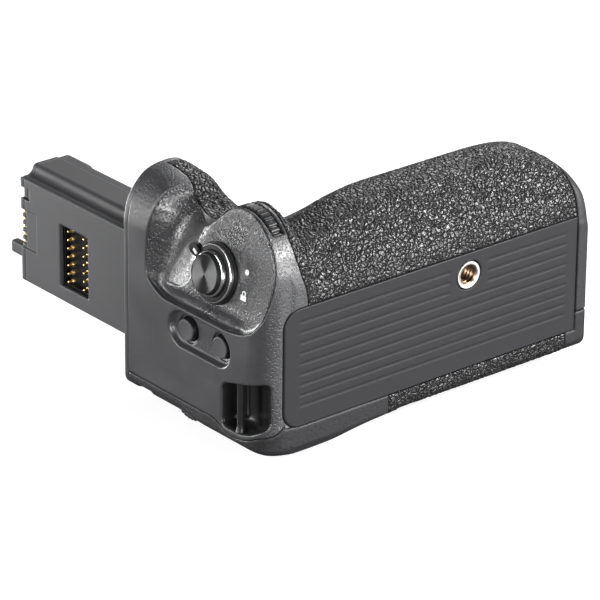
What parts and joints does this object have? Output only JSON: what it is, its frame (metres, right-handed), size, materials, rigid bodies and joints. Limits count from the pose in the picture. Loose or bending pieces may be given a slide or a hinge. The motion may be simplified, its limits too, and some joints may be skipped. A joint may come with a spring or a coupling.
{
  "type": "camera battery grip",
  "caption": "Camera battery grip: rubber-covered handle with a stem for the camera's battery chamber, shutter release, dials, camera screw and a slide-out battery tray.",
  "frame": {"origin": "centre of the tripod thread's mouth, on the plane of the base plate", "axes": "+Z towards the front of the camera (up as pictured), +Y the way the stem points and out of the camera face, -Y out of the base plate, +X from the shutter end to the battery tray door"},
  "size_m": [0.1341, 0.1348, 0.0768],
  "materials": {
    "cover": "fine crinkle paint over moulded plastic",
    "rubber": "leather-grain rubber",
    "plate": "ribbed dark plate, slightly bluish",
    "stem": "smooth matte",
    "black": "smooth black",
    "ctrl": "satin dark control",
    "spun": "spun dark metal",
    "bright": "bright ring",
    "steel": "turned steel",
    "alloy": "pressed sheet",
    "gold": "gold-plated contact",
    "board": "coated circuit board",
    "mark": "printed mark",
    "silicone": "silicone keypad",
    "pack": "textured pack casing"
  },
  "bodies": {
    "housing": {"front_cover": "cover", "grip_core": "cover", "grip_deck": "cover", "strap_pocket": "black", "rear_cover": "cover", "front_grip_rubber": "rubber", "rear_grip_rubber": "rubber", "shutter_plate": "cover", "base_plate": "plate", "top_plate": "cover", "top_gasket": "black", "tripod_bush": "steel", "chassis_plate": "alloy", "strap_bar": "black", "case_screws": "steel", "locating_pins": "steel", "stem_housing": "stem", "stem_cap": "stem", "stem_pin_block": "black", "stem_pins": "gold", "stem_tip_contacts": "gold", "shutter_collar": "bright", "index_marks": "mark", "shutter_switch": "board", "fn_keypad": "silicone", "front_dial_axle": "steel", "rear_dial_axle": "steel", "rear_keypad": "silicone", "stick_base": "black", "screw_bearing": "alloy", "tray_guide": "black", "latch_keeper": "steel", "contact_block": "black", "contact_springs": "gold", "main_board": "board"},
    "shutter_button": {"shutter_button": "spun"},
    "lock_lever": {"lock_lever": "ctrl"},
    "fn_button_a": {"fn_button_a": "cover"},
    "fn_button_b": {"fn_button_b": "cover"},
    "front_dial": {"front_dial": "ctrl"},
    "rear_dial": {"rear_dial": "ctrl"},
    "af_button": {"af_button": "ctrl"},
    "menu_button": {"menu_button": "ctrl"},
    "stick_gimbal": {"stick_gimbal": "steel"},
    "thumb_stick": {"thumb_stick": "ctrl"},
    "attach_wheel": {"attach_wheel": "ctrl", "camera_screw": "steel"},
    "battery_tray": {"battery_tray": "black", "tray_door": "cover", "door_seal": "black", "battery_pack_a": "pack", "battery_pack_b": "pack"},
    "door_latch": {"door_latch": "ctrl", "latch_tongue": "steel"}
  },
  "joints": [
    {"name": "shutter_press", "type": "slide", "parent": "housing", "child": "shutter_button", "axis": [0.9781, 0, -0.2079], "range_m": [0, 0.0012], "stiffness_N_per_m": 900},
    {"name": "lock_turn", "type": "hinge", "parent": "housing", "child": "lock_lever", "pos_m": [-0.07672, 0.0263, 0.0126], "axis": [-0.9781, 0, 0.2079], "range_deg": [0, 33]},
    {"name": "fn_a_press", "type": "slide", "parent": "housing", "child": "fn_button_a", "axis": [1, 0, 0], "range_m": [0, 0.0007], "stiffness_N_per_m": 1000},
    {"name": "fn_b_press", "type": "slide", "parent": "housing", "child": "fn_button_b", "axis": [1, 0, 0], "range_m": [0, 0.0007], "stiffness_N_per_m": 1000},
    {"name": "front_dial_turn", "type": "hinge", "parent": "housing", "child": "front_dial", "pos_m": [-0.0686, 0.0184, 0.0222], "axis": [1, 0, 0], "continuous": true},
    {"name": "rear_dial_turn", "type": "hinge", "parent": "housing", "child": "rear_dial", "pos_m": [-0.0746, 0.0395, -0.0306], "axis": [1, 0, 0], "continuous": true},
    {"name": "af_press", "type": "slide", "parent": "housing", "child": "af_button", "axis": [0, 0, 1], "range_m": [0, 0.0007], "stiffness_N_per_m": 1000},
    {"name": "menu_press", "type": "slide", "parent": "housing", "child": "menu_button", "axis": [0, 0, 1], "range_m": [0, 0.0006], "stiffness_N_per_m": 1000},
    {"name": "stick_tilt_y", "type": "hinge", "parent": "housing", "child": "stick_gimbal", "pos_m": [-0.057, 0.037, -0.0332], "axis": [1, 0, 0], "range_deg": [-10, 10], "stiffness_Nm_per_rad": 0.05},
    {"name": "stick_tilt_x", "type": "hinge", "parent": "stick_gimbal", "child": "thumb_stick", "pos_m": [-0.057, 0.037, -0.0332], "axis": [0, 1, 0], "range_deg": [-10, 10], "stiffness_Nm_per_rad": 0.05},
    {"name": "wheel_turn", "type": "hinge", "parent": "housing", "child": "attach_wheel", "pos_m": [0, 0.0595, -0.003], "axis": [0, 1, 0], "continuous": true},
    {"name": "tray_slide", "type": "slide", "parent": "housing", "child": "battery_tray", "axis": [1, 0, 0], "range_m": [0, 0.062]},
    {"name": "latch_turn", "type": "hinge", "parent": "battery_tray", "child": "door_latch", "pos_m": [0.05, 0.033, -0.01], "axis": [-1, 0, 0], "range_deg": [0, 90]}
  ]
}
